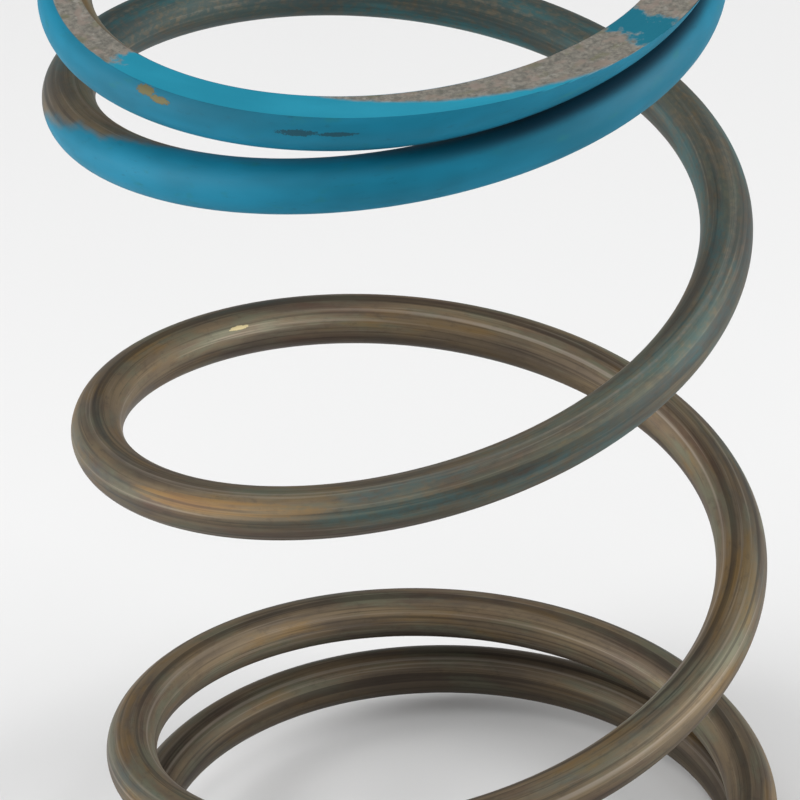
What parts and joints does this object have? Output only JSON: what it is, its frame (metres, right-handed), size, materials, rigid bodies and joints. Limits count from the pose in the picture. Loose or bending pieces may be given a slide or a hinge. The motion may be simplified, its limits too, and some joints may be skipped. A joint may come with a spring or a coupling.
{
  "type": "compression coil spring",
  "caption": "Cylindrical steel compression spring with closed, ground ends, bare wire and teal paint on the top end coil.",
  "frame": {"origin": "centre of the coil in the plane of the bottom ground face", "axes": "+Z along the spring's axis, from the bottom end to the painted top end; the wire's top tip ends just before +X"},
  "size_m": [0.0594, 0.0594, 0.0957],
  "materials": {
    "bare_wire": "drawn spring steel, oil tempered, dull grey-brown",
    "painted_wire": "thin teal blue identification paint, satin"
  },
  "bodies": {
    "bottom_end_coil": {"bottom_end_coil": "bare_wire"},
    "active_arc_01": {"active_arc_01": "bare_wire"},
    "active_arc_02": {"active_arc_02": "bare_wire"},
    "active_arc_03": {"active_arc_03": "bare_wire"},
    "active_arc_04": {"active_arc_04": "bare_wire"},
    "active_arc_05": {"active_arc_05": "bare_wire"},
    "active_arc_06": {"active_arc_06": "bare_wire"},
    "active_arc_07": {"active_arc_07": "bare_wire"},
    "active_arc_08": {"active_arc_08": "bare_wire"},
    "active_arc_09": {"active_arc_09": "bare_wire"},
    "active_arc_10": {"active_arc_10": "bare_wire"},
    "active_arc_11": {"active_arc_11": "bare_wire"},
    "active_arc_12": {"active_arc_12": "bare_wire"},
    "active_arc_13": {"active_arc_13": "bare_wire"},
    "active_arc_14": {"active_arc_14": "bare_wire"},
    "active_arc_15": {"active_arc_15": "bare_wire"},
    "active_arc_16": {"active_arc_16": "bare_wire"},
    "active_arc_17": {"active_arc_17": "bare_wire"},
    "active_arc_18": {"active_arc_18": "bare_wire"},
    "active_arc_19": {"active_arc_19": "bare_wire"},
    "active_arc_20": {"active_arc_20": "bare_wire"},
    "active_arc_21": {"active_arc_21": "painted_wire"},
    "active_arc_22": {"active_arc_22": "painted_wire"},
    "active_arc_23": {"active_arc_23": "painted_wire"},
    "active_arc_24": {"active_arc_24": "painted_wire"},
    "top_end_coil": {"top_end_coil": "painted_wire"}
  },
  "joints": [
    {"name": "compression", "type": "slide", "parent": "bottom_end_coil", "child": "top_end_coil", "axis": [0, 0, -1], "range_m": [0, 0.06553], "stiffness_N_per_m": 7790},
    {"name": "arc_closing_01", "type": "slide", "parent": "bottom_end_coil", "child": "active_arc_01", "axis": [0.0158, 0.0066, -0.9999], "range_m": [0, 0.00024]},
    {"name": "arc_closing_02", "type": "hinge", "parent": "bottom_end_coil", "child": "active_arc_02", "pos_m": [0.0338, 0.02381, 0.00905], "axis": [0.1216, -0.9904, -0.0658], "range_deg": [0, 1.84]},
    {"name": "arc_closing_03", "type": "hinge", "parent": "bottom_end_coil", "child": "active_arc_03", "pos_m": [0.00857, 0.04204, 0.01169], "axis": [0.774, -0.6277, -0.0832], "range_deg": [0, 3.76]},
    {"name": "arc_closing_04", "type": "hinge", "parent": "bottom_end_coil", "child": "active_arc_04", "pos_m": [-0.02248, 0.0387, 0.01412], "axis": [0.9961, 0.0368, -0.0808], "range_deg": [0, 7.04]},
    {"name": "arc_closing_05", "type": "hinge", "parent": "bottom_end_coil", "child": "active_arc_05", "pos_m": [-0.04447, 0.02085, 0.01613], "axis": [0.8112, 0.5806, -0.0697], "range_deg": [0, 10.32]},
    {"name": "arc_closing_06", "type": "hinge", "parent": "bottom_end_coil", "child": "active_arc_06", "pos_m": [-0.05684, 0.0001, 0.01754], "axis": [0.471, 0.8806, -0.052], "range_deg": [0, 11.69]},
    {"name": "arc_closing_07", "type": "hinge", "parent": "bottom_end_coil", "child": "active_arc_07", "pos_m": [-0.06347, -0.0284, 0.01891], "axis": [-0.0254, 0.999, -0.0368], "range_deg": [0, 11.75]},
    {"name": "arc_closing_08", "type": "hinge", "parent": "bottom_end_coil", "child": "active_arc_08", "pos_m": [-0.05062, -0.08473, 0.02097], "axis": [-0.6885, 0.7247, -0.0278], "range_deg": [0, 10.32]},
    {"name": "arc_closing_09", "type": "hinge", "parent": "bottom_end_coil", "child": "active_arc_09", "pos_m": [0.00921, -0.13065, 0.02307], "axis": [-0.9915, 0.1284, -0.0216], "range_deg": [0, 9.12]},
    {"name": "arc_closing_10", "type": "hinge", "parent": "bottom_end_coil", "child": "active_arc_10", "pos_m": [0.1586, -0.09414, 0.0265], "axis": [-0.6304, -0.776, -0.0187], "range_deg": [0, 7.7]},
    {"name": "arc_closing_11", "type": "hinge", "parent": "bottom_end_coil", "child": "active_arc_11", "pos_m": [0.18211, 0.08419, 0.02996], "axis": [0.2951, -0.9553, -0.0169], "range_deg": [0, 8.11]},
    {"name": "arc_closing_12", "type": "hinge", "parent": "bottom_end_coil", "child": "active_arc_12", "pos_m": [0.06369, 0.18507, 0.03264], "axis": [0.8924, -0.451, -0.016], "range_deg": [0, 9.31]},
    {"name": "arc_closing_13", "type": "hinge", "parent": "bottom_end_coil", "child": "active_arc_13", "pos_m": [-0.07782, 0.17882, 0.03493], "axis": [0.963, 0.2692, -0.0148], "range_deg": [0, 10.38]},
    {"name": "arc_closing_14", "type": "hinge", "parent": "bottom_end_coil", "child": "active_arc_14", "pos_m": [-0.18007, 0.10161, 0.03685], "axis": [0.6009, 0.7992, -0.0134], "range_deg": [0, 10.71]},
    {"name": "arc_closing_15", "type": "hinge", "parent": "bottom_end_coil", "child": "active_arc_15", "pos_m": [-0.23412, 0.03665, 0.03814], "axis": [0.2567, 0.9664, -0.0107], "range_deg": [0, 9.8]},
    {"name": "arc_closing_16", "type": "hinge", "parent": "bottom_end_coil", "child": "active_arc_16", "pos_m": [-0.13183, -0.29032, 0.04238], "axis": [-0.8725, 0.4885, -0.0105], "range_deg": [0, 8.26]},
    {"name": "arc_closing_17", "type": "hinge", "parent": "bottom_end_coil", "child": "active_arc_17", "pos_m": [0.09757, -0.30049, 0.04487], "axis": [-0.9739, -0.2267, -0.0101], "range_deg": [0, 8.89]},
    {"name": "arc_closing_18", "type": "hinge", "parent": "bottom_end_coil", "child": "active_arc_18", "pos_m": [0.28168, -0.13975, 0.04744], "axis": [-0.5191, -0.8546, -0.0095], "range_deg": [0, 9.58]},
    {"name": "arc_closing_19", "type": "hinge", "parent": "bottom_end_coil", "child": "active_arc_19", "pos_m": [0.31874, 0.0706, 0.0495], "axis": [0.1357, -0.9907, -0.0082], "range_deg": [0, 9.77]},
    {"name": "arc_closing_20", "type": "hinge", "parent": "bottom_end_coil", "child": "active_arc_20", "pos_m": [0.25614, 0.26053, 0.05115], "axis": [0.6617, -0.7497, -0.0062], "range_deg": [0, 9.15]},
    {"name": "arc_closing_21", "type": "hinge", "parent": "bottom_end_coil", "child": "active_arc_21", "pos_m": [0.05411, 0.46364, 0.05291], "axis": [0.9857, -0.1686, -0.0042], "range_deg": [0, 7.5]},
    {"name": "arc_closing_22", "type": "hinge", "parent": "bottom_end_coil", "child": "active_arc_22", "pos_m": [-0.30645, 0.55226, 0.05451], "axis": [0.8916, 0.4529, -0.0024], "range_deg": [0, 5.73]},
    {"name": "arc_closing_23", "type": "hinge", "parent": "bottom_end_coil", "child": "active_arc_23", "pos_m": [-0.17658, 0.48771, 0.0565], "axis": [0.9433, 0.332, -0.0003], "range_deg": [0, 6.9]},
    {"name": "arc_closing_24", "type": "slide", "parent": "bottom_end_coil", "child": "active_arc_24", "axis": [0, 0, -1], "range_m": [0, 0.06554]}
  ],
  "couplings": [
    {"joint": "arc_closing_01", "follows": "compression", "ratio": 0.00348},
    {"joint": "arc_closing_02", "follows": "compression", "rad_per_m": 0.48852},
    {"joint": "arc_closing_03", "follows": "compression", "rad_per_m": 0.9984},
    {"joint": "arc_closing_04", "follows": "compression", "rad_per_m": 1.8718},
    {"joint": "arc_closing_05", "follows": "compression", "rad_per_m": 2.745},
    {"joint": "arc_closing_06", "follows": "compression", "rad_per_m": 3.1101},
    {"joint": "arc_closing_07", "follows": "compression", "rad_per_m": 3.128},
    {"joint": "arc_closing_08", "follows": "compression", "rad_per_m": 2.7451},
    {"joint": "arc_closing_09", "follows": "compression", "rad_per_m": 2.4263},
    {"joint": "arc_closing_10", "follows": "compression", "rad_per_m": 2.0472},
    {"joint": "arc_closing_11", "follows": "compression", "rad_per_m": 2.1576},
    {"joint": "arc_closing_12", "follows": "compression", "rad_per_m": 2.4765},
    {"joint": "arc_closing_13", "follows": "compression", "rad_per_m": 2.7623},
    {"joint": "arc_closing_14", "follows": "compression", "rad_per_m": 2.8491},
    {"joint": "arc_closing_15", "follows": "compression", "rad_per_m": 2.6078},
    {"joint": "arc_closing_16", "follows": "compression", "rad_per_m": 2.1971},
    {"joint": "arc_closing_17", "follows": "compression", "rad_per_m": 2.3665},
    {"joint": "arc_closing_18", "follows": "compression", "rad_per_m": 2.5478},
    {"joint": "arc_closing_19", "follows": "compression", "rad_per_m": 2.6003},
    {"joint": "arc_closing_20", "follows": "compression", "rad_per_m": 2.4334},
    {"joint": "arc_closing_21", "follows": "compression", "rad_per_m": 1.9937},
    {"joint": "arc_closing_22", "follows": "compression", "rad_per_m": 1.5244},
    {"joint": "arc_closing_23", "follows": "compression", "rad_per_m": 1.8353},
    {"joint": "arc_closing_24", "follows": "compression", "ratio": 0.99994}
  ]
}
